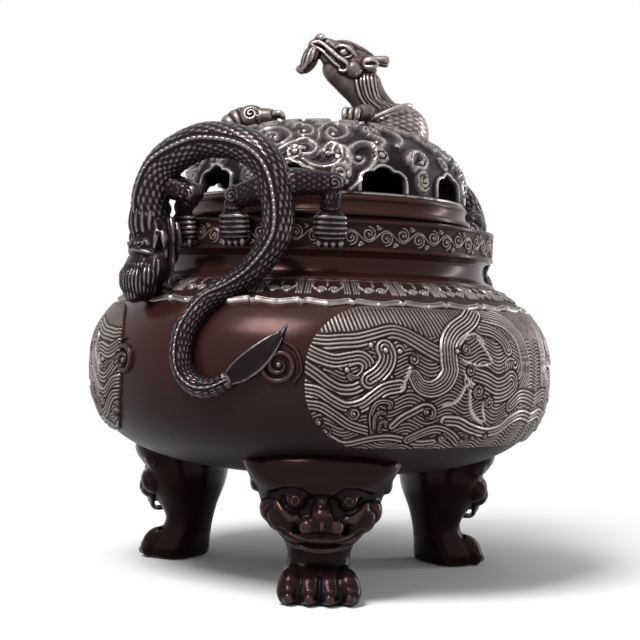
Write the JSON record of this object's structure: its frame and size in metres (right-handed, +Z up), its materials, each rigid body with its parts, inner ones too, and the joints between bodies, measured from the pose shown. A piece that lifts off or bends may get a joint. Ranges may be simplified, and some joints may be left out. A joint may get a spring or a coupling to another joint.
{
  "type": "lidded tripod incense burner",
  "caption": "Round bronze incense burner on beast-mask legs, with dragon handles and a lift-off pierced dome lid topped by a dragon.",
  "frame": {"origin": "centre of the base, on the surface that the paws stand on", "axes": "+Z up along the vessel's axis, the front wave panel towards -Y, the handles on -X and +X"},
  "size_m": [0.2494, 0.2326, 0.276],
  "materials": {
    "polished_bronze": "dark reddish-brown bronze, polished",
    "silvered_waves": "silver-grey ridges over dark grooves, satin",
    "relief_bronze": "brownish-grey relief, satin",
    "leg_bronze": "very dark reddish-brown bronze, glossy",
    "dragon_bronze": "near-black bronze with silver-rubbed edges, semi-gloss",
    "cloud_bronze": "dark bronze with silver-rubbed scrolls, semi-gloss",
    "finial_bronze": "dark bronze, silver-rubbed on its raised parts, semi-gloss",
    "fastener_bronze": "plain dark bronze"
  },
  "bodies": {
    "vessel": {"bowl": "polished_bronze", "rim_collar": "polished_bronze", "shoulder_lappet_band": "relief_bronze", "front_wave_panel": "silvered_waves", "rear_wave_panel": "silvered_waves", "leg_front_left": "leg_bronze", "leg_front_right": "leg_bronze", "leg_rear": "leg_bronze", "leg_rivet_front_left": "fastener_bronze", "leg_rivet_front_right": "fastener_bronze", "leg_rivet_rear": "fastener_bronze", "handle_left_body": "dragon_bronze", "handle_left_head": "dragon_bronze", "handle_left_foreleg_near": "dragon_bronze", "handle_left_foreleg_far": "dragon_bronze", "handle_left_hindleg_near": "dragon_bronze", "handle_left_hindleg_far": "dragon_bronze", "handle_right_body": "dragon_bronze", "handle_right_head": "dragon_bronze", "handle_right_foreleg_near": "dragon_bronze", "handle_right_foreleg_far": "dragon_bronze", "handle_right_hindleg_near": "dragon_bronze", "handle_right_hindleg_far": "dragon_bronze"},
    "lid": {"lid_ring": "polished_bronze", "lid_dome": "cloud_bronze", "finial_dragon_head": "finial_bronze", "finial_dragon_haunch": "finial_bronze", "finial_dragon_body": "finial_bronze", "finial_dragon_forepaw": "finial_bronze", "finial_stud": "fastener_bronze", "finial_nut": "fastener_bronze"}
  },
  "joints": [
    {"name": "lid_lift", "type": "slide", "parent": "vessel", "child": "lid", "axis": [0, 0, 1], "range_m": [0, 0.1]}
  ]
}
